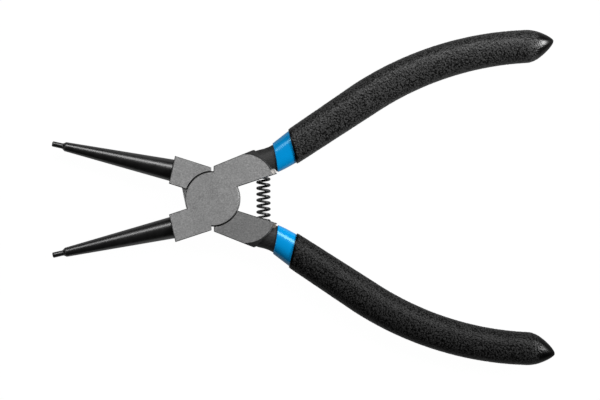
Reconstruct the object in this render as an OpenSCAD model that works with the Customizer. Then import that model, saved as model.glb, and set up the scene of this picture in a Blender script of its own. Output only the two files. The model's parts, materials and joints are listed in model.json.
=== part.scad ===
// Internal circlip pliers: two lapped arms on a flush rivet, turned tips, a coil return spring
// and handles dipped twice in vinyl. Millimetres and degrees.
// One arm is drawn closed, with its jaw on the X axis and the pivot on the Z axis. It is then opened
// to the rest position, and the rear arm is the same forging turned over about the X axis.

/* [Pose] */
// Angle that the arms turn apart between closed and rest
opening = 36; // [24:1:40]
// Angle between the shoulders at rest, which is the travel left before they stop the arms
stop_gap = 5; // [3:0.5:8]

/* [Joint] */
// Thickness of the forged head
head_t = 10; // [9:0.5:12]
// Diameter of the front arm's joint disc
front_disc_d = 18; // [16:0.5:18.5]
// Diameter of the rear arm's joint disc
rear_disc_d = 18.5; // [16:0.5:19]
// Gap between a disc's rim and the curved shoulders round it
rim_gap = 0.35; // [0.2:0.05:0.6]
// Gap between the lapped faces of the two discs
lap_gap = 0.1; // [0.05:0.05:0.2]
// Width of the broken edge round the ground faces
edge = 0.25; // [0.15:0.05:0.6]
// Diameter of the rivet's shank
rivet_d = 5.5; // [4:0.5:7]
// Diameter of the rivet's countersunk heads, ground flush
rivet_head_d = 8; // [7.5:0.5:10]
// Depth of the countersunk heads
rivet_head_t = 1.6; // [1:0.2:2.4]
// Running clearance of the front arm round the rivet
rivet_gap = 0.05; // [0.02:0.01:0.1]

/* [Jaws] */
// Distance from the pivot to the jaw's end face
jaw_len = 15.7; // [14:0.5:20]
// Width of the jaw block
jaw_w = 9.4; // [8.6:0.2:11]
// Distance from the centre plane to a closed jaw's inner face
jaw_gap = 0.4; // [0.2:0.1:1]
// Distance from the pivot to the far end of the rear arm's gusset, between its jaw and its disc
gusset_len = 10.8; // [10.2:0.1:12]

/* [Tips] */
// Distance from the centre plane to the middle of a closed tip's foot
tip_y = 4.9; // [4.6:0.1:5.2]
// Diameter of the tip's cone at the jaw
tip_base_d = 7.3; // [5.5:0.1:8]
// Diameter of the tip's cone at its front end
tip_front_d = 3.1; // [2.6:0.1:4]
// Length of the tip's cone
tip_len = 37.2; // [25:1:50]
// Length of the bevel between the cone and the pin
tip_bevel = 0.9; // [0.4:0.1:1.5]
// Diameter of the pin that enters the circlip's eye
pin_d = 1.8; // [1.2:0.1:2.4]
// Length of the pin
pin_len = 3.6; // [2.5:0.1:6]
// Width of the bevel on the pin's end
pin_bevel = 0.25; // [0.1:0.05:0.4]
// Distance from the centre plane to a closed tip
tip_gap = 0.05; // [0.05:0.05:0.5]
// Diameter of the tip's spigot, pressed into the jaw
spigot_d = 4.4; // [3.5:0.2:5]
// Length of the tip's spigot
spigot_len = 5; // [3:0.5:6]

/* [Handle head] */
// Distance from the centre plane to a closed arm's inner face
head_gap = 1.2; // [1:0.1:2.5]
// Width of the handle head at its shoulder
head_w = 9; // [8:0.2:10]
// Width of the handle head at its far corner
head_end_w = 10; // [9:0.1:10.5]
// Distance from the pivot to the far corner on the outer face
outer_len = 18.3; // [16:0.1:19]
// Distance from the pivot to the end of the ground flat on the inner face
flat_len = 21.7; // [19:0.1:22]
// Radius of the ground flat's round end
flat_r = 9.8; // [9:0.1:11]
// Thickness of the web that carries the head's outline past the ground flat
web_t = 7; // [5:0.2:7.2]
// Radius of the web's corners
web_corner_r = 0.8; // [0.4:0.1:1.2]
// Distance from the web's inner far corner to the vinyl
web_setback = 0.4; // [0.3:0.1:1.5]
// Width of the bare ledge along the inner face, between the ground flat and the web's far corner
ledge_w = 2.2; // [1.6:0.1:2.6]
// Thickness of the head at the ledge
ledge_t = 9.4; // [8:0.1:9.6]

/* [Neck and tang] */
// Distance that the neck starts past the middle of the ground flat's round end
neck_inset = 2.1; // [0:0.1:4]
// Distance from the arm's inner face to the neck's side at its start
neck_cover = 0.1; // [0.1:0.1:0.8]
// Width of the neck at its start, inside the head
neck_w = 8.2; // [7.4:0.1:8.4]
// Extra width on the neck's outer side, which runs out in a hollow curve from the head's far corner to the vinyl
neck_flare = 0.8; // [0:0.1:0.8]
// Thickness of the neck where it leaves the head
neck_t = 7.6; // [7.4:0.1:8.6]
// Angle of the neck to the tool's centre line, closed
neck_angle = 5; // [3:0.5:8]
// Length of the straight neck
neck_len = 7.6; // [6:0.2:9]
// Radius of the bend between the neck and the straight grip
neck_bend_r = 25; // [15:1:40]
// Angle of the straight grip to the tool's centre line, closed
grip_angle = 15.4; // [12:0.2:18]
// Length of the straight grip, from the neck's bend to the bow
grip_len = 33; // [20:1:45]
// Radius of the handle's bow
bow_r = 106; // [80:2:140]
// Angle that the bow turns back, to the handle's end
bow_angle = 36; // [28:1:40]
// Length of the handle that stays bare, from the neck's start to the vinyl
bare_len = 10.3; // [9:0.1:12]
// Width of the tang where the vinyl starts
collar_w = 8.4; // [7:0.1:9]
// Width of the tang along the grip
tang_w = 8.5; // [7:0.1:9.5]
// Width of the tang at its end
tang_end_w = 7.5; // [6:0.1:8]
// Distance from the tang's end to the handle's end
tang_short = 9; // [8:0.5:14]

/* [Grips] */
// Wall of the blue undercoat
sleeve_wall = 0.9; // [0.5:0.1:1.2]
// Wall of the undercoat at its front edge
sleeve_lip = 0.4; // [0.2:0.05:0.5]
// Wall of the black overcoat
grip_wall = 0.8; // [0.6:0.1:1.2]
// Wall of the overcoat at its front edge
grip_lip = 0.45; // [0.3:0.05:0.6]
// Length of the undercoat's bare collar
collar_len = 6.6; // [4:0.2:10]
// Angle of the dip lines to a square cut across the handle
dip_skew = 19.4; // [0:0.2:22]
// Length past the overcoat's front edge that keeps the dip lines' angle
dip_run = 2; // [1:0.5:3]
// Length of the drip-shaped nose at the handle's end
nose_len = 9.5; // [6:0.5:10]
// Outward lean of the nose's point
nose_lean = 1.8; // [0:0.1:2]

/* [Spring] */
// Outer diameter of the return spring
spring_d = 4.8; // [4:0.2:5.6]
// Diameter of the spring's wire
wire_d = 0.85; // [0.5:0.05:0.95]
// Turns with open pitch
open_turns = 8.5; // [6:0.5:10]
// Closed turns at each end
end_turns = 1; // [1:0.5:1.5]
// Distance from the pivot to the spring's axis at rest
spring_x = 16.9; // [16:0.1:17.5]
// Depth of the spring's seat below the arm's inner face
seat_depth = 3; // [2:0.25:4]
// Clearance round the spring in its seat
seat_gap = 0.2; // [0.1:0.05:0.4]
// Clearance under the spring's ends at rest
floor_gap = 0.05; // [0.02:0.01:0.2]

/* [Hidden] */

$fn = 96;
steel = "#8c8c8c";
black_oxide = "#262626";
blue_vinyl = "#0a86d8";
black_vinyl = "#2b2b2b";

section_sides = 24;       // corners of a handle section
section_power = 2.2;      // 2 is an ellipse, and more is squarer
nose_swell = 1.8;         // more is a fuller nose
nose_blunt = 0.85;        // less is a blunter point
wire_sides = 8;
turn_steps = 18;          // rings in one turn of the spring
overlap = 1;              // how far a cutting shape runs past the face that it cuts

half_open = opening / 2;
half_t = head_t / 2;
shoulder_angle = 90 - half_open - stop_gap / 2;

// The tip leans in until its cone's front end or its pin meets the centre plane, when closed.
function lean_to_meet(length, r) = asin((tip_y - tip_gap) / norm([length, r])) - atan2(r, length);
tip_angle = min(
    lean_to_meet(tip_len - tip_bevel, tip_front_d / 2),
    lean_to_meet(tip_len + pin_len, pin_d / 2)
);

boss_x = flat_len - flat_r;

// The tang is as thick as lets the dipped handle lie level with the head.
tang_t = head_t - 2 * (sleeve_wall + grip_wall);

// Stretches of the handle's centreline, each a length and a curvature.
neck_start = [boss_x + neck_inset, head_gap + neck_cover + neck_w / 2, neck_angle];
neck_bend_len = neck_bend_r * (grip_angle - neck_angle) * PI / 180;
handle_path = [
    [neck_len, 0],
    [neck_bend_len, 1 / neck_bend_r],
    [grip_len, 0],
    [bow_r * bow_angle * PI / 180, -1 / bow_r]
];
handle_end = handle_path[0][0] + handle_path[1][0] + handle_path[2][0] + handle_path[3][0];
bow_start = handle_end - handle_path[3][0];
collar_start = bare_len;
grip_start = collar_start + collar_len;
tang_end = handle_end - tang_short;
sleeve_end = handle_end - grip_wall;

// The spring stands across the tool, between the floors of its two seats.
seat_y = spring_x * tan(half_open) + head_gap / cos(half_open) + seat_depth;
coil_r = (spring_d - wire_d) / 2;

// A point and heading further on, along a straight line or an arc.
function advance(at, length, curve) =
    let (to = at[2] + length * curve * 180 / PI)
    curve == 0
        ? [at[0] + length * cos(at[2]), at[1] + length * sin(at[2]), to]
        : [at[0] + (sin(to) - sin(at[2])) / curve, at[1] - (cos(to) - cos(at[2])) / curve, to];

// The handle's centreline at a distance from the neck's start.
function along(s, at = neck_start, i = 0) =
    i == len(handle_path) - 1 || s <= handle_path[i][0]
        ? advance(at, s, handle_path[i][1])
        : along(s - handle_path[i][0], advance(at, handle_path[i][0], handle_path[i][1]), i + 1);

function rounded(v) = sign(v) * pow(abs(v), 2 / section_power);

// Slope of a section, which is square to the handle except round the dip lines.
function dip_slope(s) =
    tan(dip_skew) * lookup(s, [[0, 0], [collar_start, 1], [grip_start + dip_run, 1], [bow_start, 0]]);

// A rounded section of the handle, with its middle leaning off the centreline.
function ring(s, half_w, half_thick, lean = 0) =
    [for (i = [0 : section_sides - 1])
        let (turn = 360 * i / section_sides,
             across = lean + half_w * rounded(cos(turn)),
             at = along(s + across * dip_slope(s)))
        [at[0] - across * sin(at[2]), at[1] + across * cos(at[2]), half_thick * rounded(sin(turn))]];

// Half sizes of the steel tang along the handle.
function tang_half_w(s) =
    lookup(s, [[0, neck_w / 2], [collar_start, collar_w / 2], [bow_start, tang_w / 2],
               [tang_end, tang_end_w / 2]]);
function tang_half_t(s) = lookup(s, [[0, neck_t / 2], [grip_start, tang_t / 2]]);

// Share of the full section that a nose has, at a distance before its point.
function nose_share(before) =
    before >= nose_len ? 1 : pow(1 - pow(1 - max(before, 0) / nose_len, nose_swell), nose_blunt);

// Wall over the tang. The undercoat thickens from a thin lip all along its collar,
// and the overcoat from another all along the straight grip.
function sleeve_coat(s) = lookup(s, [[collar_start, sleeve_lip], [grip_start, sleeve_wall]]);
function grip_coat(s) = sleeve_coat(s) + lookup(s, [[grip_start, grip_lip], [bow_start, grip_wall]]);

// A ring on the outside of the tang, or of a coat that ends in a nose.
function tang_ring(s) =
    let (run = collar_start + neck_start[0] - outer_len,
         flare = neck_flare / 2 * pow(max(min((collar_start - s) / run, 1), 0), 2))
    ring(s, tang_half_w(s) + flare, tang_half_t(s), flare);
function coat_ring(s, wall, end) =
    let (share = nose_share(end - s))
    ring(s, share * (tang_half_w(s) + wall), share * (tang_half_t(s) + wall), (1 - share) * nose_lean);
function sleeve_ring(s) = coat_ring(s, sleeve_coat(s), sleeve_end);
function grip_ring(s) = coat_ring(s, grip_coat(s), handle_end);

// Places of the rings: the ends of each lip, steps between them, and closer steps to a nose's point.
neck_steps = 6;
bow_steps = 8;
nose_steps = 7;
neck_places = [for (i = [0 : neck_steps - 1]) collar_start * i / neck_steps];
collar_places = [collar_start, collar_start + dip_run];
bow_places = [for (i = [0 : bow_steps]) bow_start + (tang_end - bow_start) * i / bow_steps];
grip_places = concat([grip_start, grip_start + dip_run], bow_places);
function nose_places(end) =
    [for (i = [1 : nose_steps]) end - (end - tang_end) * pow(1 - i / (nose_steps + 0.4), 1.6)];

module front_half() {
    translate([0, 0, half_t]) rotate(half_open) children();
}

module rear_half() {
    translate([0, 0, half_t]) rotate([180, 0, 0]) rotate(half_open) children();
}

// A closed skin over a run of rings. The first few spans take the other diagonal,
// so that a lining meets what it lines triangle by triangle.
module loft(rings, lining = 0) {
    n = section_sides;
    last = len(rings) - 1;
    polyhedron(
        points = [for (r = rings) each r],
        faces = concat(
            [[for (j = [0 : n - 1]) j]],
            [for (k = [0 : last - 1], j = [0 : n - 1])
                let (a = k * n + j, b = k * n + (j + 1) % n, c = b + n, d = a + n)
                each k < lining ? [[a, d, b], [b, d, c]] : [[a, d, c], [a, c, b]]],
            [[for (j = [n - 1 : -1 : 0]) last * n + j]]));
}

// A plate with its top and bottom edges broken, and with rounded corners where they have a radius.
module broken_plate(outline, thick, corner_r = 0) {
    module plan() {
        offset(r = corner_r, $fn = 32) offset(delta = -corner_r) polygon(outline);
    }
    hull() {
        linear_extrude(thick - 2 * edge, center = true) plan();
        linear_extrude(thick, center = true) offset(delta = -edge) plan();
    }
}

// The point of the shoulder line at a height above the centre plane.
function on_shoulder(y) = [y / tan(shoulder_angle), y];

// The point of the jaw's end face at a height below the centre plane.
function on_jaw_end(y) = [-jaw_len + (tip_y - y) * tan(tip_angle), -y];

module jaw_block() {
    broken_plate([
        on_jaw_end(jaw_gap), on_jaw_end(jaw_gap + jaw_w),
        on_shoulder(-jaw_gap - jaw_w), on_shoulder(-jaw_gap)
    ], head_t);
}

// The outline's last corner stops short of the vinyl's front edge.
collar_corner = tang_ring(collar_start)[section_sides / 2];
head_outline = [
    on_shoulder(head_gap), on_shoulder(head_gap + head_w),
    [outer_len, head_gap + head_end_w], [collar_corner[0] - web_setback, head_gap]
];

// A round-ended bar along the inner face, with broken edges, from under the flat to the far corner.
module bare_ledge() {
    end_r = ledge_w / 2;
    hull() for (x = [flat_len - ledge_w, head_outline[3][0] - end_r])
        translate([x, head_gap + end_r, 0]) {
            cylinder(r = end_r, h = ledge_t - 2 * edge, center = true, $fn = 32);
            cylinder(r = end_r - edge, h = ledge_t, center = true, $fn = 32);
        }
}

// The ground flat ends in an arc, with a flank that falls to the neck.
module handle_head() {
    fall = (head_t - web_t) / 2;
    intersection() {
        broken_plate(head_outline, head_t);
        union() {
            translate([boss_x, head_gap, 0]) rotate_extrude() polygon([
                [0, -half_t], [flat_r, -half_t], [flat_r + fall, fall - half_t],
                [flat_r + fall, half_t - fall], [flat_r, half_t], [0, half_t]
            ]);
            translate([0, 0, -half_t]) cube([boss_x, head_gap + head_end_w + overlap, head_t]);
        }
    }
    broken_plate(head_outline, web_t, web_corner_r);
    bare_ledge();
}

module lap_disc(disc_d) {
    rotate_extrude() polygon([
        [0, lap_gap / 2], [disc_d / 2, lap_gap / 2], [disc_d / 2, half_t - edge],
        [disc_d / 2 - edge, half_t], [0, half_t]
    ]);
}

// The gusset runs from the jaw's inner face along a tangent to the rear arm's disc.
module gusset_outline() {
    corner = [-gusset_len, -jaw_gap];
    tangent_turn = atan2(corner[1], corner[0]) - acos(rear_disc_d / 2 / norm(corner));
    polygon([[0, 0], corner, rear_disc_d / 2 * [cos(tangent_turn), sin(tangent_turn)]]);
}

// The rivet's outline grown by a clearance, which is also its hole.
module rivet_solid(gap) {
    shank_r = rivet_d / 2 + gap;
    head_r = rivet_head_d / 2 + gap;
    rotate_extrude() polygon([
        [0, -half_t], [head_r, -half_t], [shank_r, rivet_head_t - half_t],
        [shank_r, half_t - rivet_head_t], [head_r, half_t], [0, half_t]
    ]);
}

module on_tip_axis() {
    translate([-jaw_len, -tip_y, 0]) rotate([0, -90, -tip_angle]) children();
}

module spring_seat() {
    rotate(-half_open) translate([spring_x, seat_y, 0]) rotate([90, 0, 0])
        cylinder(d = spring_d + 2 * seat_gap, h = seat_y);
}

module arm(own_disc_d, other_disc_d, rivet_hole_gap, has_gusset) {
    difference() {
        union() {
            lap_disc(own_disc_d);
            difference() {
                union() {
                    jaw_block();
                    handle_head();
                }
                translate([0, 0, lap_gap / 2 - half_t - overlap]) {
                    cylinder(d = other_disc_d + 2 * rim_gap, h = half_t + overlap);
                    if (!has_gusset)
                        linear_extrude(half_t + overlap) mirror([0, 1]) offset(delta = rim_gap) gusset_outline();
                }
            }
            if (has_gusset)
                translate([0, 0, lap_gap / 2]) linear_extrude(half_t - edge - lap_gap / 2) gusset_outline();
            loft([for (s = concat(neck_places, collar_places, grip_places)) tang_ring(s)]);
        }
        rivet_solid(rivet_hole_gap);
        spring_seat();
        on_tip_axis() translate([0, 0, -spigot_len]) cylinder(d = spigot_d, h = spigot_len + overlap);
    }
}

module front_arm() {
    color(steel) front_half() arm(front_disc_d, rear_disc_d, rivet_gap, false);
}

module rear_arm() {
    color(steel) rear_half() arm(rear_disc_d, front_disc_d, 0, true);
}

module tip() {
    pin_r = pin_d / 2;
    on_tip_axis() rotate_extrude() polygon([
        [0, -spigot_len], [spigot_d / 2, -spigot_len], [spigot_d / 2, 0], [tip_base_d / 2, 0],
        [tip_front_d / 2, tip_len - tip_bevel], [pin_r, tip_len], [pin_r, tip_len + pin_len - pin_bevel],
        [pin_r - pin_bevel, tip_len + pin_len], [0, tip_len + pin_len]
    ]);
}

module front_tip() {
    color(black_oxide) front_half() tip();
}

module rear_tip() {
    color(black_oxide) rear_half() tip();
}

module pivot_rivet() {
    color(steel) translate([0, 0, half_t]) rivet_solid(0);
}

// Height of the wire's centre above the spring's middle, after a number of turns.
coil_turns = open_turns + 2 * end_turns;
coil_top = seat_y - floor_gap - wire_d / 2;
function coil_height(turns) =
    lookup(turns, [
        [0, -coil_top], [end_turns, -coil_top + end_turns * wire_d],
        [coil_turns - end_turns, coil_top - end_turns * wire_d], [coil_turns, coil_top]
    ]);

module return_spring() {
    n = wire_sides;
    last = coil_turns * turn_steps;
    color(black_oxide) translate([spring_x, 0, half_t]) polyhedron(
        points = [for (k = [0 : last], j = [0 : n - 1])
            let (turn = 360 * (k / turn_steps - coil_turns), round = 360 * j / n, out = coil_r + wire_d / 2 * cos(round))
            [out * cos(turn), coil_height(k / turn_steps) + wire_d / 2 * sin(round), out * sin(turn)]],
        faces = concat(
            [[for (j = [n - 1 : -1 : 0]) j]],
            [for (k = [0 : last - 1], j = [0 : n - 1])
                let (a = k * n + j, b = k * n + (j + 1) % n)
                each [[a, b, b + n], [a, b + n, a + n]]],
            [[for (j = [0 : n - 1]) last * n + j]]));
}

// The first coat: a closed sock over the tang, bare at its collar.
module sleeve() {
    lining = [for (s = concat(collar_places, grip_places)) tang_ring(s)];
    outside = [for (s = concat(collar_places, grip_places, nose_places(sleeve_end))) sleeve_ring(s)];
    loft(concat([for (i = [len(lining) - 1 : -1 : 0]) lining[i]], outside), len(lining) - 1);
}

module front_sleeve() {
    color(blue_vinyl) front_half() sleeve();
}

module rear_sleeve() {
    color(blue_vinyl) rear_half() sleeve();
}

// The second coat: a textured sock over the first.
module grip() {
    lining = [for (s = concat(grip_places, nose_places(sleeve_end))) sleeve_ring(s)];
    outside = [for (s = concat(grip_places, nose_places(handle_end))) grip_ring(s)];
    loft(concat([for (i = [len(lining) - 1 : -1 : 0]) lining[i]], outside), len(lining) - 1);
}

module front_grip() {
    color(black_vinyl) front_half() grip();
}

module rear_grip() {
    color(black_vinyl) rear_half() grip();
}

front_arm();
rear_arm();
front_tip();
rear_tip();
pivot_rivet();
return_spring();
front_sleeve();
rear_sleeve();
front_grip();
rear_grip();
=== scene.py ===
import itertools
import json
import math

import bmesh
import bpy
import numpy as np
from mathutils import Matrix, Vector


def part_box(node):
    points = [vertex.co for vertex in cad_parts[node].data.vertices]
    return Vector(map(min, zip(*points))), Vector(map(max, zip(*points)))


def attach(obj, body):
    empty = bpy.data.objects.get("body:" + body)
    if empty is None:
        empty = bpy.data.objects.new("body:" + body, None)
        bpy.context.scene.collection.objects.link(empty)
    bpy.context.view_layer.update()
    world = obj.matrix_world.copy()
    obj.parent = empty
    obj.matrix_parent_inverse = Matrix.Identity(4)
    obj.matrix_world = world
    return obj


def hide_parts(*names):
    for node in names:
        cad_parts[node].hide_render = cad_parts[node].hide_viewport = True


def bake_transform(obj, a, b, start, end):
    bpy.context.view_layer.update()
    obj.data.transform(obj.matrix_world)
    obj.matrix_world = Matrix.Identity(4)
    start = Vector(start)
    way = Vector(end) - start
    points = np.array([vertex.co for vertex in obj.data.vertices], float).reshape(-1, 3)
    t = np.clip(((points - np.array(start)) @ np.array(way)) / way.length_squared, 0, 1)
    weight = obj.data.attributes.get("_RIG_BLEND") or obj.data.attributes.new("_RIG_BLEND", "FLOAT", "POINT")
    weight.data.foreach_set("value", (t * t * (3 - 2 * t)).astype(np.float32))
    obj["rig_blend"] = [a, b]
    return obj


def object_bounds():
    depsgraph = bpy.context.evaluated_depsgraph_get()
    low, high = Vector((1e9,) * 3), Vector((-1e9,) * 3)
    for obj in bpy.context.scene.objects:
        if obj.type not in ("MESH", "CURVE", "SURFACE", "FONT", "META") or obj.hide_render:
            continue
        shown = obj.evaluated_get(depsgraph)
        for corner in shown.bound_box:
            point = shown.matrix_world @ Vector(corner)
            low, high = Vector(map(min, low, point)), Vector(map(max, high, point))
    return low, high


# Internal circlip pliers, as photographed from straight above on a white table.
# Shapes are worked out in millimetres on a closed arm (pivot at 0,0, jaw towards -x, handle towards +x,
# middle plane at z 0), then opened to the rest position and put into the frame's metres.

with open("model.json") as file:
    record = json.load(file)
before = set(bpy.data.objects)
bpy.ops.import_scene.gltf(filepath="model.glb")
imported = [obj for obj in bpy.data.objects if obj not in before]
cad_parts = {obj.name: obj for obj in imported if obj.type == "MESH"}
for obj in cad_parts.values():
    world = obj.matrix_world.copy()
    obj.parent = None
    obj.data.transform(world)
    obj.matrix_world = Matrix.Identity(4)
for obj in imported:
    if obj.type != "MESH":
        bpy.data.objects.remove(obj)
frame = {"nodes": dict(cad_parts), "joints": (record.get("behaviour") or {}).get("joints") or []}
cadLow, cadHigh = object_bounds()
nodes = frame["nodes"]
pivot = frame["joints"][0]
mm = 0.001
onAxis = 1e-3                                        # radius of a turned profile's ends, mm
halfOpen = math.radians(-pivot["range_deg"][0] / 2)  # what each arm turns from closed to rest
midZ = pivot["pos_m"][2] / mm                        # height of the middle plane
arms = {"front": 1, "rear": -1}                      # the rear arm is the front one turned over
print("frame:", len(nodes), "nodes, each arm open by", round(math.degrees(halfOpen), 2), "degrees")


# Small tools

def linear(hexColour):
    # sRGB hex to a linear colour
    c = np.array([int(hexColour[i:i + 2], 16) for i in (1, 3, 5)]) / 255
    return (*np.where(c > 0.04045, ((c + 0.055) / 1.055) ** 2.4, c / 12.92).tolist(), 1.0)


def addNode(tree, kind, inputs=(), **settings):
    # one node with its settings; its inputs are named, numbered or in order, and each is a value
    # or the output that it is linked to
    node = tree.nodes.new("ShaderNode" + kind)
    for name, value in settings.items():
        setattr(node, name, value)
    for key, value in inputs.items() if isinstance(inputs, dict) else enumerate(inputs):
        if isinstance(value, bpy.types.NodeSocket):
            tree.links.new(value, node.inputs[key])
        else:
            node.inputs[key].default_value = value
    return node


def newMaterial(name):
    # an empty material and the point, in metres, that its patterns are worked out from
    material = bpy.data.materials.new(name)
    material.use_nodes = True
    tree = material.node_tree
    tree.nodes.clear()
    return material, tree, addNode(tree, "TexCoord").outputs["Object"]


def finishMaterial(tree, inputs):
    surface = addNode(tree, "BsdfPrincipled", inputs)
    addNode(tree, "OutputMaterial", {"Surface": surface.outputs[0]})


def placed(points, side):
    # opens the closed arm to rest and, for side -1, turns it over about the x axis
    x, y, z = np.moveaxis(points, -1, 0)
    c, s = math.cos(halfOpen), math.sin(halfOpen)
    return np.stack([c * x - s * y, side * (s * x + c * y), side * z + midZ], -1) * mm


def ringMesh(name, rings):
    # rings (row, column, xyz) joined by quads along and round, each end closed by a fan to the ring's middle
    rows, columns, _ = rings.shape
    points = np.concatenate([rings.reshape(-1, 3), rings[[0, -1]].mean(1)])
    at = np.arange(rows * columns).reshape(rows, columns)
    after = np.roll(at, -1, axis=1)
    quads = np.stack([at[:-1], after[:-1], after[1:], at[1:]], -1).reshape(-1, 4)
    first = np.stack([after[0], at[0], np.full(columns, len(points) - 2)], -1)
    last = np.stack([at[-1], after[-1], np.full(columns, len(points) - 1)], -1)
    mesh = bpy.data.meshes.new(name)
    mesh.from_pydata(points.tolist(), [], quads.tolist() + first.tolist() + last.tolist())
    mesh.validate()
    mesh.shade_smooth()
    return mesh


def addPiece(name, mesh, material, node):
    # a finished mesh that stands in for one CAD node
    piece = bpy.data.objects.new(name, mesh)
    bpy.context.scene.collection.objects.link(piece)
    mesh.materials.clear()
    mesh.materials.append(material)
    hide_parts(node)
    return piece


# Forged arms: the CAD solids, with their sharp corners broken

armForging = {
    "weld": 0.004,        # corners closer than this are one, mm
    "flatAngle": 0.4,     # faces closer to one plane than this are joined, degrees
    "sharpAngle": 34,     # degrees
    "edgeRadius": 0.09,   # rounding of the sharp corners, mm
    "edgeSteps": 2,
    "flatWeight": 100,    # how much the large faces keep their own shading, percent
}
flatEnd = {  # where the bright steel stops, on a closed arm, mm
    "centre": {"front": (11.45, 1.46), "rear": (12.2, 1.1)},  # middle of each ground flat's round end
    "radius": 9.8,
    "behind": 13.0,                                  # the blackened neck lies past this x
    "ledgeEnd": (22.15, 2.25), "ledgeRadius": 0.85,  # middle and radius of the bare ledge's round end
    "ledgeRimShade": (-0.2, 0.1),                         # where the ledge turns black, from that radius
}
gusset = {  # the web between the rear jaw and its disc, out of the grinding belt's reach, mm
    "before": -6.5, "above": -0.2, "halfHeight": 0.2,  # where its face lies on a closed arm
    "foot": (-8.675, 3.209), "corner": (-10.148, 3.718), "slit": 0.06,  # its foot beside the jaw at rest
    # the gusset's pale is painted light, for the light its face lacks in the disc's shadow
    "pale": "#fafafa",
}
steelLook = {
    "ground": "#acacac", "ledge": "#c2bfbc", "scaleDark": "#070707", "scalePale": "#262626",
    "gritMm": 0.33, "scratchMm": 0.5, "cloudMm": 5, "forgeMm": 0.5, "reliefMm": 0.08,
    "raggedMm": 0.9, "raggedDepth": 0.25, "scaleFade": 0.12,
    # the broken corners are painted darker: painted shade along the edges
    "cornerFrom": 4.85, "cornerHalf": 0.13, "cornerShade": 0.4,  # broken corners, from the middle plane, mm
    "handleFrom": (2, 5), "handleTone": 1.06,                   # tones, and the x over which they set in, mm
    "jawFrom": (-10, -8), "jawTone": 1.08,
    "speckle": (0.25, 0.75, 0.66, 1.34),  # span of the noise, then of what it becomes
    "mottle": (0.3, 0.7, 0.96, 1.04), "flake": (0.35, 0.65),
    "groundRough": (0.3, 0.7, 0.46, 0.56), "scaleRough": 0.58,
    "gritRelief": 0.12, "scaleRelief": 0.5,
}
steelLooks = {
    "front": steelLook,
    "rear": {**steelLook, "handleTone": 0.76, "ledge": "#a49c94"},  # the rear head is darker towards its handle, and its ledge is painted darker: painted shade
}


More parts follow.
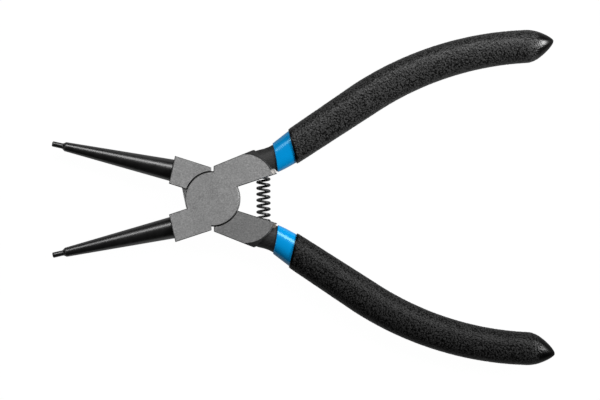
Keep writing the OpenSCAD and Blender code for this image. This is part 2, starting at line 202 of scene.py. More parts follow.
def groundSteel(name, arm, side, look):
    # Drop-forged tool steel. The head is ground matt on a fine belt: an even mid gray with a fine grit and no
    # mirror image. The neck past the flat keeps its black forge scale: dark, slightly rough, a dull sheen.
    material, tree, objectPoint = newMaterial(name)
    closed = addNode(tree, "Mapping", {
        "Vector": objectPoint, "Rotation": (0, 0, -halfOpen), "Scale": (1 / mm, side / mm, 1 / mm)})
    point = closed.outputs[0]
    place = addNode(tree, "SeparateXYZ", {"Vector": point})
    plan = addNode(tree, "VectorMath", (point, (1, 1, 0)), operation="MULTIPLY")

    # the flat's round end is a little ragged, and the neck past it is black
    reach = addNode(tree, "VectorMath", (
        plan.outputs[0], (*flatEnd["centre"][arm], 0)), operation="DISTANCE")
    ragged = addNode(tree, "TexNoise", {"Vector": point, "Scale": 1 / look["raggedMm"], "Detail": 3})
    raggedReach = addNode(tree, "Math", (
        ragged.outputs["Fac"], look["raggedDepth"], reach.outputs["Value"]), operation="MULTIPLY_ADD")
    edge = flatEnd["radius"] + look["raggedDepth"] / 2
    past = addNode(tree, "MapRange", (raggedReach.outputs[0], edge, edge + look["scaleFade"]))
    behind = addNode(tree, "Math", (place.outputs["X"], flatEnd["behind"]), operation="GREATER_THAN")
    scale = addNode(tree, "Math", (past.outputs[0], behind.outputs[0]), operation="MULTIPLY")

    # the ledge along the inner face is rubbed bare up to its round end, whose rim is painted black like the
    # scale: painted shade on the end's side
    ledge = addNode(tree, "VectorMath", (
        plan.outputs[0], (flatEnd["ledgeEnd"][0], 0, 0)), operation="MAXIMUM")
    ledgeReach = addNode(tree, "VectorMath", (
        ledge.outputs[0], (*flatEnd["ledgeEnd"], 0)), operation="DISTANCE")
    raggedLedge = addNode(tree, "Math", (
        ragged.outputs["Fac"], look["raggedDepth"], ledgeReach.outputs["Value"]), operation="MULTIPLY_ADD")
    ledgeEdge = flatEnd["ledgeRadius"] + look["raggedDepth"] / 2
    outside = addNode(tree, "MapRange", (
        raggedLedge.outputs[0], *(ledgeEdge + rim for rim in flatEnd["ledgeRimShade"])))
    black = addNode(tree, "Math", (scale.outputs[0], outside.outputs[0]), operation="MULTIPLY")
    bare = addNode(tree, "Math", (scale.outputs[0], black.outputs[0]), operation="SUBTRACT")

    # corners broken by hand lie just below the flats and are painted darker than them: painted shade along
    # the edges
    level = addNode(tree, "Math", (place.outputs["Z"], midZ), operation="SUBTRACT")
    fromMiddle = addNode(tree, "Math", (level.outputs[0],), operation="ABSOLUTE")
    corner = addNode(tree, "Math", (
        fromMiddle.outputs[0], look["cornerFrom"], look["cornerHalf"]), operation="COMPARE")
    paintedCornerShade = addNode(tree, "MapRange", {
        "Value": corner.outputs[0], "To Min": 1.0, "To Max": look["cornerShade"]})

    # the gusset's face lies by the middle plane; it is matt and painted near white, painted light for the
    # light that the disc's shadow keeps from it
    ahead = addNode(tree, "Math", (place.outputs["X"], gusset["before"]), operation="LESS_THAN")
    across = addNode(tree, "Math", (place.outputs["Y"], gusset["above"]), operation="GREATER_THAN")
    inner = addNode(tree, "Math", (fromMiddle.outputs[0], gusset["halfHeight"]), operation="LESS_THAN")
    beside = addNode(tree, "Math", (ahead.outputs[0], across.outputs[0]), operation="MULTIPLY")
    paintedLightGusset = addNode(tree, "Math", (beside.outputs[0], inner.outputs[0]), operation="MULTIPLY")

    # belt grit: short scratches along the arm, drawn coarser than the real 0.1 mm so that they show
    along = addNode(tree, "Mapping", {
        "Vector": point, "Scale": (1 / look["scratchMm"], 1 / look["gritMm"], 1 / look["gritMm"])})
    grit = addNode(tree, "TexNoise", {"Vector": along.outputs[0], "Scale": 1, "Detail": 4, "Roughness": 0.65})
    cloud = addNode(tree, "TexNoise", {"Vector": point, "Scale": 1 / look["cloudMm"], "Detail": 2})
    forge = addNode(tree, "TexNoise", {
        "Vector": point, "Scale": 1 / look["forgeMm"], "Detail": 5, "Roughness": 0.6})

    # the ground steel's colour times all its tones, then the scale's
    tone = addNode(tree, "MapRange", (place.outputs["X"], *look["handleFrom"], 1, look["handleTone"]))
    speckle = addNode(tree, "MapRange", (grit.outputs["Fac"], *look["speckle"]))
    mottle = addNode(tree, "MapRange", (cloud.outputs["Fac"], *look["mottle"]))
    jaw = addNode(tree, "MapRange", (place.outputs["X"], *look["jawFrom"], look["jawTone"], 1))
    shade = tone
    for factor in (speckle, mottle, jaw, paintedCornerShade):
        shade = addNode(tree, "Math", (shade.outputs[0], factor.outputs[0]), operation="MULTIPLY")
    tint = addNode(tree, "Mix", {
        0: bare.outputs[0], 6: linear(look["ground"]), 7: linear(look["ledge"])}, data_type="RGBA")
    # painted light: the gusset's face is painted near white
    paintedLightTint = addNode(tree, "Mix", {
        0: paintedLightGusset.outputs[0], 6: tint.outputs[2], 7: linear(gusset["pale"])}, data_type="RGBA")
    ground = addNode(tree, "VectorMath", {0: paintedLightTint.outputs[2], "Scale": shade.outputs[0]}, operation="SCALE")
    flake = addNode(tree, "MapRange", (forge.outputs["Fac"], *look["flake"]))
    sooty = addNode(tree, "Mix", {
        0: flake.outputs[0], 6: linear(look["scaleDark"]), 7: linear(look["scalePale"])}, data_type="RGBA")
    colour = addNode(tree, "Mix", {
        0: black.outputs[0], 6: ground.outputs[0], 7: sooty.outputs[2]}, data_type="RGBA")

    groundRough = addNode(tree, "MapRange", (grit.outputs["Fac"], *look["groundRough"]))
    rough = addNode(tree, "Mix", {
        0: black.outputs[0], 2: groundRough.outputs[0], 3: look["scaleRough"]}, data_type="FLOAT")
    matt = addNode(tree, "Math", (black.outputs[0], paintedLightGusset.outputs[0]), operation="MAXIMUM")
    metal = addNode(tree, "MapRange", {"Value": matt.outputs[0], "To Min": 1.0, "To Max": 0.0})
    relief = addNode(tree, "Mix", {
        0: black.outputs[0], 2: grit.outputs["Fac"], 3: forge.outputs["Fac"]}, data_type="FLOAT")
    depth = addNode(tree, "MapRange", {
        "Value": black.outputs[0], "To Min": look["gritRelief"], "To Max": look["scaleRelief"]})
    bump = addNode(tree, "Bump", {
        "Height": relief.outputs[0], "Strength": depth.outputs[0], "Distance": look["reliefMm"] * mm})
    finishMaterial(tree, {
        "Base Color": colour.outputs[2], "Metallic": metal.outputs[0], "Roughness": rough.outputs[0],
        "Normal": bump.outputs[0]})
    return material


def closeSlit(soup):
    # a hair slit between the gusset's foot and its jaw: its mouth is merged, its two walls are taken out,
    # and the jaw's wall is made again above the gusset
    def column(spot):
        near = [v for v in soup.verts if math.dist(v.co.xy / mm, spot) < gusset["slit"]]
        return sorted(near, key=lambda v: v.co.z)
    bmesh.ops.remove_doubles(soup, verts=column(gusset["foot"]), dist=gusset["slit"] * mm)
    footLow, footHigh = column(gusset["foot"])
    cornerHigh = column(gusset["corner"])[-1]
    walls = [face for face in footLow.link_faces if footHigh in face.verts[:]]
    jawWall, = [face for face in walls if cornerHigh not in face.verts[:]]
    outline = [cornerHigh if v == footLow else v for v in jawWall.verts]
    bmesh.ops.delete(soup, geom=walls, context="FACES")
    soup.faces.new(outline)
    soup.normal_update()


steels = {}
for arm, side in arms.items():
    steels[arm] = groundSteel("groundToolSteel_" + arm, arm, side, steelLooks[arm])
    node = arm + "_arm"
    mesh = nodes[node].data.copy()
    soup = bmesh.new()
    soup.from_mesh(mesh)
    bmesh.ops.remove_doubles(soup, verts=soup.verts, dist=armForging["weld"] * mm)
    bmesh.ops.dissolve_limit(
        soup, angle_limit=math.radians(armForging["flatAngle"]), verts=soup.verts, edges=soup.edges)
    if arm == "rear":
        closeSlit(soup)
    soup.to_mesh(mesh)
    soup.free()
    if "custom_normal" in mesh.attributes:  # the loose triangles' own normals no longer fit
        mesh.attributes.remove(mesh.attributes["custom_normal"])
    mesh.shade_smooth()
    mesh.set_sharp_from_angle(angle=math.radians(armForging["sharpAngle"]))
    piece = addPiece(arm + "_arm_forging", mesh, steels[arm], node)
    bevel = piece.modifiers.new("broken corners", "BEVEL")
    bevel.width = armForging["edgeRadius"] * mm
    bevel.segments = armForging["edgeSteps"]
    bevel.angle_limit = math.radians(armForging["sharpAngle"])
    weighted = piece.modifiers.new("flat faces", "WEIGHTED_NORMAL")
    weighted.weight = armForging["flatWeight"]
    weighted.keep_sharp = True
    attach(piece, arm + "_half")
    print("arm:", piece.name, len(mesh.polygons), "faces before its corners are broken")


# Rivet: ground flush, with heads smeared over the rims of their countersinks, so that no ring shows

rivet = {
    "shank": 2.75, "head": 4.0,        # radii, mm
    "headDepth": 1.6, "halfLength": 5.0,
    "smear": 0.22, "proud": 0.004,     # how far and how thickly a head reaches over its rim
    "sides": 96,
}
top, proud = rivet["halfLength"], rivet["proud"]
rim = rivet["head"] + rivet["smear"]
upper = [(rivet["shank"], top - rivet["headDepth"]), (rivet["head"], top), (rim, top + proud / 2),
         (rim, top + proud), (onAxis, top + proud)]
outline = np.array([(r, -z) for r, z in upper[::-1]] + upper)
turn = np.linspace(0, 2 * np.pi, rivet["sides"], endpoint=False)
rivetRings = np.stack([
    outline[:, :1] * np.cos(turn), outline[:, :1] * np.sin(turn),
    np.broadcast_to(outline[:, 1:], (len(outline), len(turn)))], -1)
mesh = ringMesh("pivot_rivet_flush", (rivetRings + (0, 0, midZ)) * mm)
mesh.set_sharp_from_angle(angle=math.radians(armForging["sharpAngle"]))
piece = addPiece("pivot_rivet_flush", mesh, steels["front"], "pivot_rivet")
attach(piece, "rear_half")
print("rivet:", len(mesh.polygons), "faces")


# Turned tips: a cone with a bevelled front end and a pin, pressed into the jaw

tip = {
    "base": (-15.7, -4.9),    # middle of the cone's foot on a closed arm, mm
    "gap": 0.05,              # from the cone's front end to the centre line on a closed arm, mm
    "footRadius": 3.65, "frontRadius": 1.55, "length": 37.2, "bevel": 0.9,
    "pinRadius": 0.9, "pinLength": 3.6, "pinBevel": 0.25,
    "spigotRadius": 2.2, "spigotLength": 5.0,
    "corner": 0.18,           # rounding of each corner of the profile, mm
    "cornerSteps": 5, "sides": 96, "rowMm": 0.6, "sharpAngle": 40,
    "dark": "#040404", "pale": "#0a0a0a", "cloudMm": 2.5,
    "rough": (0.3, 0.7, 0.29, 0.35), "ior": 1.85,  # span of the noise, then of the roughness
}


def roundedProfile(corners, radius, steps, spacing):
    # a line of corners, each inner one replaced by a parabola that starts and ends a radius away from it,
    # with extra points along the long straights
    most = 0.4  # share of a short straight that one rounding takes
    rows = [corners[:1]]
    t = np.linspace(0, 1, steps)[:, None]
    for before, corner, after in zip(corners[:-2], corners[1:-1], corners[2:]):
        toBefore, toAfter = before - corner, after - corner
        reachBefore = min(radius, most * np.linalg.norm(toBefore))
        reachAfter = min(radius, most * np.linalg.norm(toAfter))
        start = corner + toBefore / np.linalg.norm(toBefore) * reachBefore
        end = corner + toAfter / np.linalg.norm(toAfter) * reachAfter
        rows.append((1 - t) ** 2 * start + 2 * t * (1 - t) * corner + t ** 2 * end)
    rows.append(corners[-1:])
    line = np.concatenate(rows)
    run = np.concatenate([[0], np.cumsum(np.linalg.norm(np.diff(line, axis=0), axis=1))])
    places = np.union1d(run, np.arange(0, run[-1], spacing))
    return np.stack([np.interp(places, run, line[:, i]) for i in (0, 1)], -1)


def blackOxide(name):
    # Turned steel, blackened in a hot salt bath and oiled: deep black with a soft broad gloss.
    material, tree, objectPoint = newMaterial(name)
    cloud = addNode(tree, "TexNoise", {
        "Vector": objectPoint, "Scale": 1 / (tip["cloudMm"] * mm), "Detail": 4})
    colour = addNode(tree, "Mix", {
        0: cloud.outputs["Fac"], 6: linear(tip["dark"]), 7: linear(tip["pale"])}, data_type="RGBA")
    rough = addNode(tree, "MapRange", (cloud.outputs["Fac"], *tip["rough"]))
    finishMaterial(tree, {
        "Base Color": colour.outputs[2], "Roughness": rough.outputs[0], "IOR": tip["ior"]})
    return material


oxide = blackOxide("blackOxideSteel")
front = tip["length"]
pinEnd = front + tip["pinLength"]
profile = roundedProfile(np.array([
    (-tip["spigotLength"], onAxis), (-tip["spigotLength"], tip["spigotRadius"]), (0, tip["spigotRadius"]),
    (0, tip["footRadius"]), (front - tip["bevel"], tip["frontRadius"]), (front, tip["pinRadius"]),
    (pinEnd - tip["pinBevel"], tip["pinRadius"]), (pinEnd, tip["pinRadius"] - tip["pinBevel"]),
    (pinEnd, onAxis),
]), tip["corner"], tip["cornerSteps"], tip["rowMm"])
turn = np.linspace(0, 2 * np.pi, tip["sides"], endpoint=False)
# the tip leans in until its cone's front end is a gap away from the centre line
shoulder = front - tip["bevel"], tip["frontRadius"]
lean = math.asin((-tip["base"][1] - tip["gap"]) / math.hypot(*shoulder)) - math.atan2(*shoulder[::-1])
heading = math.pi - lean
forward = np.array([math.cos(heading), math.sin(heading), 0])
sideways = np.array([-math.sin(heading), math.cos(heading), 0])
upward = np.array([0, 0, 1])
# every profile point is carried round the tip's axis
tipRings = (np.array([*tip["base"], 0]) + profile[:, :1, None] * forward
            + profile[:, 1:, None] * (np.cos(turn)[:, None] * sideways + np.sin(turn)[:, None] * upward))
for arm, side in arms.items():
    mesh = ringMesh(arm + "_tip_turned", placed(tipRings, side))
    mesh.set_sharp_from_angle(angle=math.radians(tip["sharpAngle"]))
    piece = addPiece(arm + "_tip_turned", mesh, oxide, arm + "_tip")
    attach(piece, arm + "_half")
    print("tip:", piece.name, len(mesh.polygons), "faces")


# Dipped handles: two vinyl coats swept along the tang

handle = {  # on a closed arm, mm and degrees
    "start": (14.0, 5.4), "startAngle": 5.0,  # where the neck leaves the head
    "neckLength": 7.6, "neckBend": 25.0, "gripAngle": 15.4, "gripLength": 33.0,
    "bowRadius": 106.0, "bowAngle": 36.0,
    "bare": 10.3, "collar": 6.6,              # lengths of bare neck and of blue coat that show
    "dipSkew": 19.4, "dipRun": 2.0,           # slant of the dip lines, and how far it is kept up past them
    "neckWidth": 8.2, "collarWidth": 8.4, "tangWidth": 8.5, "tangEndWidth": 7.5,
    "neckThick": 7.6, "tangThick": 6.6,
    "tangShort": 9.0,                         # the tang stops this far before the handle's end
    "sleeveWall": 0.9, "sleeveLip": 0.4, "gripWall": 0.8, "gripLip": 0.45,
    "noseLength": 9.5, "noseLean": 1.8,       # the pointed drip at the end
    "noseSwell": 1.8, "noseBlunt": 0.85, "noseRound": 0.05,
    "squareness": 2.2,                        # 2 is an ellipse, more is squarer
}
# length and curvature of each stretch of the centreline; s is the distance along it from the head
stretches = [
    (handle["neckLength"], 0),
    (handle["neckBend"] * math.radians(handle["gripAngle"] - handle["startAngle"]), 1 / handle["neckBend"]),
    (handle["gripLength"], 0),
    (handle["bowRadius"] * math.radians(handle["bowAngle"]), -1 / handle["bowRadius"]),
]
handleEnd = sum(length for length, curve in stretches)
bowStart = handleEnd - stretches[-1][0]
collarStart = handle["bare"]
gripStart = collarStart + handle["collar"]
tangEnd = handleEnd - handle["tangShort"]
sleeveEnd = handleEnd - handle["gripWall"]


def handleLine(s):
    # centreline point and heading: each stretch adds its run along a line or a circle,
    # and stops at its own length
    x, y = (np.full_like(s, v) for v in handle["start"])
    heading = math.radians(handle["startAngle"])
    turned = np.full_like(s, heading)
    done = 0.0
    for length, curve in stretches:
        run = np.clip(s - done, 0 if done else None, length if done + length < handleEnd else None)
        if curve:
            x += (np.sin(heading + run * curve) - math.sin(heading)) / curve
            y -= (np.cos(heading + run * curve) - math.cos(heading)) / curve
        else:
            x += run * math.cos(heading)
            y += run * math.sin(heading)
        turned += run * curve
        heading += length * curve
        done += length
    return x, y, turned


def tangHalfWidth(s):
    # straight tapers between the head, the collar, the bow and the tang's end
    widths = [handle[name] for name in ("neckWidth", "collarWidth", "tangWidth", "tangEndWidth")]
    return np.interp(s, [0, collarStart, bowStart, tangEnd], widths) / 2


def tangHalfThick(s):
    # one straight taper from the head to the grip
    return np.interp(s, [0, gripStart], [handle["neckThick"] / 2, handle["tangThick"] / 2])


def sleeveCoat(s):
    # the blue coat grows from its lip to its wall over the length of the collar
    return np.interp(s, [collarStart, gripStart], [handle["sleeveLip"], handle["sleeveWall"]])


def gripCoat(s):
    # the black coat on top of the blue one, from its lip to its wall
    return sleeveCoat(s) + np.interp(s, [gripStart, bowStart], [handle["gripLip"], handle["gripWall"]])


def rounded(v):
    # a cosine or sine, raised to a power that makes an ellipse squarer
    return np.sign(v) * np.abs(v) ** (2 / handle["squareness"])


def handleSkin(s, turn, wall, end):
    # an oblong ring round the centreline, a wall larger than the tang; it shrinks to a point at the end,
    # where its middle leans outwards, and near the dip lines it is skewed along the handle
    left = np.clip((end - s) / handle["noseLength"], 0, 1)
    left = np.minimum(np.sqrt(left * (left + 2 * handle["noseRound"])), 1)  # a drip's point is round
    share = (1 - (1 - left) ** handle["noseSwell"]) ** handle["noseBlunt"]
    across = ((1 - share) * handle["noseLean"]
              + share * (tangHalfWidth(s) + wall) * rounded(np.cos(turn)))
    up = share * (tangHalfThick(s) + wall) * rounded(np.sin(turn))
    slope = math.tan(math.radians(handle["dipSkew"])) * np.interp(
        s, [0, collarStart, gripStart + handle["dipRun"], bowStart], [0, 1, 1, 0])
    x, y, heading = handleLine(s + across * slope)
    return np.stack([x - across * np.sin(heading), y + across * np.cos(heading), up], -1)


def evenTurns(sides, steps=4000):
    # angles round the oblong section that are evenly spaced along its edge
    fine = np.linspace(0, 2 * np.pi, steps + 1)
    edge = np.stack([
        rounded(np.cos(fine)) * handle["tangWidth"], rounded(np.sin(fine)) * handle["tangThick"]])
    run = np.concatenate([[0], np.cumsum(np.linalg.norm(np.diff(edge), axis=0))])
    return np.interp(np.linspace(0, run[-1], sides, endpoint=False), run, fine)


def coatRows(start, lip, under, underEnd, over, overEnd, seenEnd, fine, coarse, lipSteps=9):
    # places of a coat's rings as (s, wall, end): up the lining to the front edge, round the edge in a half
    # circle, and back along the outside, fine as far as it shows and closer together towards the nose's point
    crowding = 1.5  # 1 spaces the nose's rings evenly

    def run(fineEnd, end):
        noseStart = end - handle["noseLength"]
        body = np.concatenate([
            np.arange(start + lip / 2, fineEnd, fine), np.arange(fineEnd, noseStart, coarse)])
        step = fine if fineEnd > noseStart - handle["noseLength"] else coarse
        left = 1 - np.linspace(0, 1, round(crowding * handle["noseLength"] / step))[:-1]
        return np.concatenate([body[body < noseStart], end - handle["noseLength"] * left ** crowding])

    inside = run(start + lip, underEnd)[::-1]
    outside = run(seenEnd, overEnd)
    bend = np.linspace(0, np.pi, lipSteps)[1:-1]
    edge = start + lip / 2 * (1 - np.sin(bend))
    edgeWall = under(edge) + lip / 2 * (1 - np.cos(bend))
    s = np.concatenate([inside, edge, outside])
    wall = np.concatenate([under(inside), edgeWall, over(outside)])
    end = np.concatenate([np.full(len(inside), underEnd), np.full(len(edge) + len(outside), overEnd)])
    return s[:, None], wall[:, None], end[:, None], len(inside) + len(edge)


sleeve = {
    "sides": 240, "fine": 0.2, "coarse": 1.5,
    "tucked": 2,  # length under the grip that is still finely ringed, mm
    "deep": "#008ccf", "pale": "#0092d8", "cloudMm": 3,
    "rough": (0.3, 0.7, 0.18, 0.22), "ior": 1.8,  # span of the noise, then of the roughness
    "glossTint": (0.5, 0.95, 1, 1),
}


def blueVinyl(name):
    # Plastisol dip, air-levelled while it cured: saturated blue and a wet-looking gloss. The pigment is
    # deeper than a screen can show, so the gloss is tinted towards it.
    material, tree, objectPoint = newMaterial(name)
    cloud = addNode(tree, "TexNoise", {
        "Vector": objectPoint, "Scale": 1 / (sleeve["cloudMm"] * mm), "Detail": 2})
    colour = addNode(tree, "Mix", {
        0: cloud.outputs["Fac"], 6: linear(sleeve["deep"]), 7: linear(sleeve["pale"])}, data_type="RGBA")
    rough = addNode(tree, "MapRange", (cloud.outputs["Fac"], *sleeve["rough"]))
    finishMaterial(tree, {
        "Base Color": colour.outputs[2], "Roughness": rough.outputs[0], "IOR": sleeve["ior"],
        "Specular Tint": sleeve["glossTint"]})
    return material


blue = blueVinyl("blueVinylDip")
s, wall, end, _ = coatRows(
    collarStart, handle["sleeveLip"], lambda s: 0 * s, tangEnd + handle["noseLength"], sleeveCoat, sleeveEnd,
    gripStart + sleeve["tucked"], sleeve["fine"], sleeve["coarse"])
inTang = (end == sleeveEnd) | (s <= tangEnd)  # the lining stops at the tang's square end
s, wall, end = (v[inTang][:, None] for v in (s, wall, end))
sleeveRings = handleSkin(s, evenTurns(sleeve["sides"])[None, :], wall, end)
for arm, side in arms.items():
    mesh = ringMesh(arm + "_sleeve_dip", placed(sleeveRings, side))
    piece = addPiece(arm + "_sleeve_dip", mesh, blue, arm + "_sleeve")
    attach(piece, arm + "_half")
    print("sleeve:", piece.name, len(mesh.polygons), "faces")


def pebbles(points, cell, seed):
    # bumps: every cube of a grid holds one point at a seeded place, and the height falls with the square of
    # the distance to the nearest of them, from 1 at the point to 0 a cell away
    size = 64
    seeds = np.random.default_rng(seed).random((size, size, size, 3))
    p = points / cell
    base = np.floor(p).astype(int)
    nearest = np.ones(len(p))
    for step in itertools.product((-1, 0, 1), repeat=3):
        cube = base + step
        spot = cube + seeds[tuple((cube % size).T)]
        nearest = np.minimum(nearest, ((spot - p) ** 2).sum(1))
    return 1 - nearest


def surfaceNormals(rings):
    # the cross product of the steps round and along the grid
    around = np.roll(rings, -1, axis=1) - np.roll(rings, 1, axis=1)
    along = np.gradient(rings, axis=0)
    normal = np.cross(around, along)
    tiny = 1e-12  # keeps the points where the grid shrinks to nothing from dividing by zero
    return normal / np.maximum(np.linalg.norm(normal, axis=-1, keepdims=True), tiny)


grip = {
    "sides": 160, "fine": 0.19, "coarse": 1.5,
    "pebbleMm": 0.52, "pebbleDepth": 0.22, "pebbleMiddle": 0.6, "pebbleSeed": 7,
    "lipFade": (0.3, 0.7), "noseFade": (2.6, 4.0),  # smooth length at each end, and the fade after it, mm
    "grainMm": 0.35, "grainDepth": 0.12, "grainStrength": 0.6,
    "speckMm": 0.42, "topShare": 0.5, "tops": (0.78, 0.98),  # pale specks, dust and painted highlight, mostly on the pebbles' tops
    "rough": (0.3, 0.7, 0.3, 0.44), "dripRough": 0.24, "ior": 1.5, "black": "#030303",
    "shine": {"front": 0.32, "rear": 0.14},  # the rear grip is a darker, duller copy of the front's: painted shade
    "dustAndHighlight": {"front": "#3e3e3e", "rear": "#2e2e2e"},
}


def blackVinyl(name, shine, dustAndHighlight):
    # Plastisol dip, textured by fine grit under its skin: dull black with pebbles that each catch a little
    # light, with dust and a painted highlight on their tops, and a smooth shiny drip at the end. The pebbles
    # are in the mesh, the finer grain in the bump.
    material, tree, objectPoint = newMaterial(name)
    texture = addNode(tree, "Attribute", attribute_name="pebble")  # 1 where pebbled, 0 on the smooth drip
    height = addNode(tree, "Attribute", attribute_name="pebbleHeight")
    fine = addNode(tree, "TexNoise", {
        "Vector": objectPoint, "Scale": 1 / (grip["grainMm"] * mm), "Detail": 2, "Roughness": 0.6})
    speck = addNode(tree, "TexNoise", {
        "Vector": objectPoint, "Scale": 1 / (grip["speckMm"] * mm), "Detail": 2, "Roughness": 0.5})
    # dust and painted highlight: the pebbles' highest points are painted pale
    lumpy = addNode(tree, "Math", (
        height.outputs["Fac"], grip["topShare"], speck.outputs["Fac"]), operation="MULTIPLY_ADD")
    pale = addNode(tree, "MapRange", (lumpy.outputs[0], *grip["tops"]))
    dustAndHighlightShare = addNode(tree, "Math", (pale.outputs[0], texture.outputs["Fac"]), operation="MULTIPLY")
    colour = addNode(tree, "Mix", {
        0: dustAndHighlightShare.outputs[0], 6: linear(grip["black"]), 7: linear(dustAndHighlight)}, data_type="RGBA")
    grain = addNode(tree, "MapRange", (fine.outputs["Fac"], *grip["rough"]))
    rough = addNode(tree, "Mix", {
        0: texture.outputs["Fac"], 2: grip["dripRough"], 3: grain.outputs[0]}, data_type="FLOAT")
    depth = addNode(tree, "Math", (texture.outputs["Fac"], grip["grainStrength"]), operation="MULTIPLY")
    bump = addNode(tree, "Bump", {
        "Height": fine.outputs["Fac"], "Strength": depth.outputs[0], "Distance": grip["grainDepth"] * mm})
    finishMaterial(tree, {
        "Base Color": colour.outputs[2], "Roughness": rough.outputs[0], "IOR": grip["ior"],
        "Specular IOR Level": shine, "Normal": bump.outputs[0]})
    return material


s, wall, end, outsideRow = coatRows(
    gripStart, handle["gripLip"], sleeveCoat, sleeveEnd, gripCoat, handleEnd, handleEnd,
    grip["fine"], grip["coarse"])
gripRings = handleSkin(s, evenTurns(grip["sides"])[None, :], wall, end)
lipSmooth, lipFade = grip["lipFade"]
noseSmooth, noseFade = grip["noseFade"]
fade = (np.clip((s - gripStart - lipSmooth) / lipFade, 0, 1)
        * np.clip((handleEnd - s - noseSmooth) / noseFade, 0, 1))
fade = fade * fade * (3 - 2 * fade) * (np.arange(len(s))[:, None] >= outsideRow)
outward = surfaceNormals(gripRings)
for number, (arm, side) in enumerate(arms.items()):
    bumps = pebbles(gripRings.reshape(-1, 3), grip["pebbleMm"], grip["pebbleSeed"] + number)
    bumps = bumps.reshape(gripRings.shape[:2])
    rings = gripRings + outward * (grip["pebbleDepth"] * fade * (bumps - grip["pebbleMiddle"]))[..., None]
    mesh = ringMesh(arm + "_grip_dip", placed(rings, side))
    for name, values in (("pebble", np.broadcast_to(fade, bumps.shape)), ("pebbleHeight", bumps * fade)):
        layer = mesh.attributes.new(name, "FLOAT", "POINT")
        layer.data.foreach_set("value", np.append(values.ravel(), [0, 0]).astype(np.float32))
    vinyl = blackVinyl("blackVinylPebbled_" + arm, grip["shine"][arm], grip["dustAndHighlight"][arm])
    piece = addPiece(arm + "_grip_dip", mesh, vinyl, arm + "_grip")
    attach(piece, arm + "_half")
    print("grip:", piece.name, len(mesh.polygons), "faces")


# Return spring: a wire carried along a helix, closed at both ends, that follows both arms

spring = {
    "wire": 0.85,  # mm
    "openTurns": 8.5, "endTurns": 1, "turnSteps": 40, "wireSides": 14,
    "dark": "#0a0a0a", "pale": "#191919", "cloudMm": 0.8,
    "rough": (0.3, 0.7, 0.3, 0.42), "ior": 1.6,  # span of the noise, then of the roughness
}


def springSteel(name):
    # Drawn music wire, blackened: near black, with a narrow soft gloss along each turn.
    material, tree, objectPoint = newMaterial(name)
    cloud = addNode(tree, "TexNoise", {
        "Vector": objectPoint, "Scale": 1 / (spring["cloudMm"] * mm), "Detail": 3})
    colour = addNode(tree, "Mix", {
        0: cloud.outputs["Fac"], 6: linear(spring["dark"]), 7: linear(spring["pale"])}, data_type="RGBA")
    rough = addNode(tree, "MapRange", (cloud.outputs["Fac"], *spring["rough"]))
    finishMaterial(tree, {
        "Base Color": colour.outputs[2], "Roughness": rough.outputs[0], "IOR": spring["ior"]})
    return material


springLow, springHigh = (np.array(corner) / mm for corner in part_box("return_spring"))
springMiddle = (springLow + springHigh) / 2
wireRadius = spring["wire"] / 2
coilRadius = (springHigh[0] - springLow[0]) / 2 - wireRadius
coilTop = (springHigh[1] - springLow[1]) / 2 - wireRadius
turns = spring["openTurns"] + 2 * spring["endTurns"]
turnsDone = np.linspace(0, turns, round(turns * spring["turnSteps"]) + 1)[:, None]
angle = 2 * np.pi * (turnsDone - turns)
wireTurn = np.linspace(0, 2 * np.pi, spring["wireSides"], endpoint=False)[None, :]
# height along the axis: closed turns at a wire's pitch at both ends, an even open pitch between them
closedRise = spring["endTurns"] * spring["wire"]
height = np.interp(turnsDone, [0, spring["endTurns"], turns - spring["endTurns"], turns], [
    -coilTop, closedRise - coilTop, coilTop - closedRise, coilTop])
out = coilRadius - wireRadius * np.cos(wireTurn)
springRings = springMiddle + np.stack([
    out * np.cos(angle), height + wireRadius * np.sin(wireTurn), out * np.sin(angle)], -1)
mesh = ringMesh("return_spring_coil", springRings * mm)
piece = addPiece("return_spring_coil", mesh, springSteel("blackSpringWire"), "return_spring")
seats = springMiddle * mm
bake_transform(piece, "rear_half", "front_half",
         start=(seats[0], seats[1] - coilTop * mm, seats[2]),
         end=(seats[0], seats[1] + coilTop * mm, seats[2]))
# each ring of the wire turns as one and evenly from seat to seat, so that the squeezed wire stays round
share = np.clip((height - height[0]) / (height[-1] - height[0]), 0, 1)
weights = np.append(np.broadcast_to(share, springRings.shape[:2]).ravel(), [share[0, 0], share[-1, 0]])
mesh.attributes["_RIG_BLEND"].data.foreach_set("value", weights.astype(np.float32))
print("spring:", turns, "turns,", len(mesh.polygons), "faces")


# White table, soft light and the camera straight above

studio = {
    "centre": (0.02904, -0.00051), "faceHeight": 0.0095,  # what the picture's middle looks at, m
    "pictureWidth": 0.1989, "pictureTurn": -0.244, "cameraHeight": 2.5, "sensor": 36,
    "ambient": 0.02, "tableSize": 12,
    "tableDrop": 0.0001,  # how far the pebbles reach below the solids, m
    "tableGlow": 0.9, "tableWhite": 1.1, "tableMirrored": 0.42, "tableLit": "#808080",
}
# each softbox: degrees from straight above and round from +x, distance and size in m, power in W
softboxes = {
    "main": {"tilt": 61, "round": 12, "distance": 1.0, "size": (0.38, 0.27), "power": 11.4},
    "strip": {"tilt": 41, "round": 76, "distance": 1.1, "size": (1.0, 0.37), "power": 7.4},
    "fill": {"tilt": 41, "round": 120, "distance": 1.1, "size": (0.3, 0.32), "power": 1.3},
    "left": {"tilt": 50, "round": 180, "distance": 1.1, "size": (0.4, 0.4), "power": 1.0},
}
scene = bpy.context.scene
scene.view_settings.view_transform = "Standard"
cameraData = bpy.data.cameras.new("camera")
cameraData.sensor_width = studio["sensor"]
cameraData.lens = studio["sensor"] * studio["cameraHeight"] / studio["pictureWidth"]
camera = bpy.data.objects.new("camera", cameraData)
camera.location = (*studio["centre"], studio["faceHeight"] + studio["cameraHeight"])
camera.rotation_euler.z = math.radians(studio["pictureTurn"])
scene.collection.objects.link(camera)
scene.camera = camera

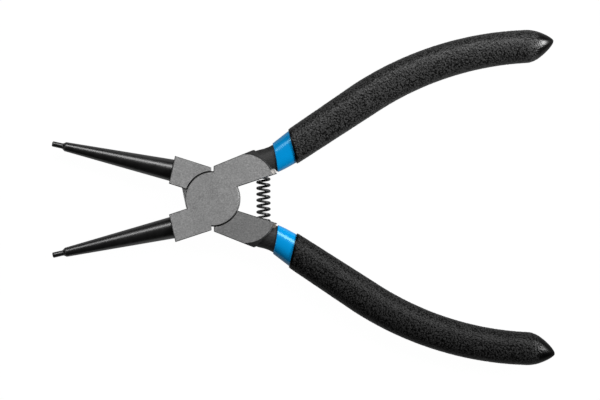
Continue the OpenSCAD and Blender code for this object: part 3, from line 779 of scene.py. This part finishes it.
for name, box in softboxes.items():
    data = bpy.data.lights.new(name + "Softbox", "AREA")
    data.shape = "RECTANGLE"
    data.size, data.size_y = box["size"]
    data.energy = box["power"]
    light = bpy.data.objects.new(name + "Softbox", data)
    tilt, around = math.radians(box["tilt"]), math.radians(box["round"])
    light.location = (studio["centre"][0] + box["distance"] * math.sin(tilt) * math.cos(around),
                      box["distance"] * math.sin(tilt) * math.sin(around), box["distance"] * math.cos(tilt))
    light.rotation_euler = (tilt, 0, around + math.pi / 2)
    light.visible_camera = False
    scene.collection.objects.link(light)

world = bpy.data.worlds.new("studio")
world.use_nodes = True
world.node_tree.nodes["Background"].inputs["Color"].default_value = (1, 1, 1, 1)
world.node_tree.nodes["Background"].inputs["Strength"].default_value = studio["ambient"]
scene.world = world

half = studio["tableSize"] / 2
tableMesh = bpy.data.meshes.new("table")
tableMesh.from_pydata(
    [(-half, -half, 0), (half, -half, 0), (half, half, 0), (-half, half, 0)], [], [(0, 1, 2, 3)])
table = bpy.data.objects.new("table", tableMesh)
table.location.z = cadLow.z - studio["tableDrop"]
scene.collection.objects.link(table)
# the table's white is mostly its own for the camera and for reflections; the rest is lit and keeps the shadow
paper = bpy.data.materials.new("whiteTable")
paper.use_nodes = True
tree = paper.node_tree
tree.nodes.clear()
path = addNode(tree, "LightPath")
seen = addNode(tree, "Math", (
    path.outputs["Is Camera Ray"], path.outputs["Is Glossy Ray"]), operation="MAXIMUM")
seenThrough = addNode(tree, "Math", (
    seen.outputs[0], path.outputs["Is Transmission Ray"]), operation="MAXIMUM")
glow = addNode(tree, "Math", (seenThrough.outputs[0], studio["tableGlow"]), operation="MULTIPLY")
lit = addNode(tree, "BsdfDiffuse", {"Color": linear(studio["tableLit"])})
strength = addNode(tree, "MapRange", {
    "Value": path.outputs["Is Glossy Ray"],
    "To Min": studio["tableWhite"], "To Max": studio["tableMirrored"]})
white = addNode(tree, "Emission", {"Color": (1, 1, 1, 1), "Strength": strength.outputs[0]})
mix = addNode(tree, "MixShader", (glow.outputs[0], lit.outputs[0], white.outputs[0]))
addNode(tree, "OutputMaterial", {"Surface": mix.outputs[0]})
tableMesh.materials.append(paper)
print("studio: camera,", len(softboxes), "softboxes and table")
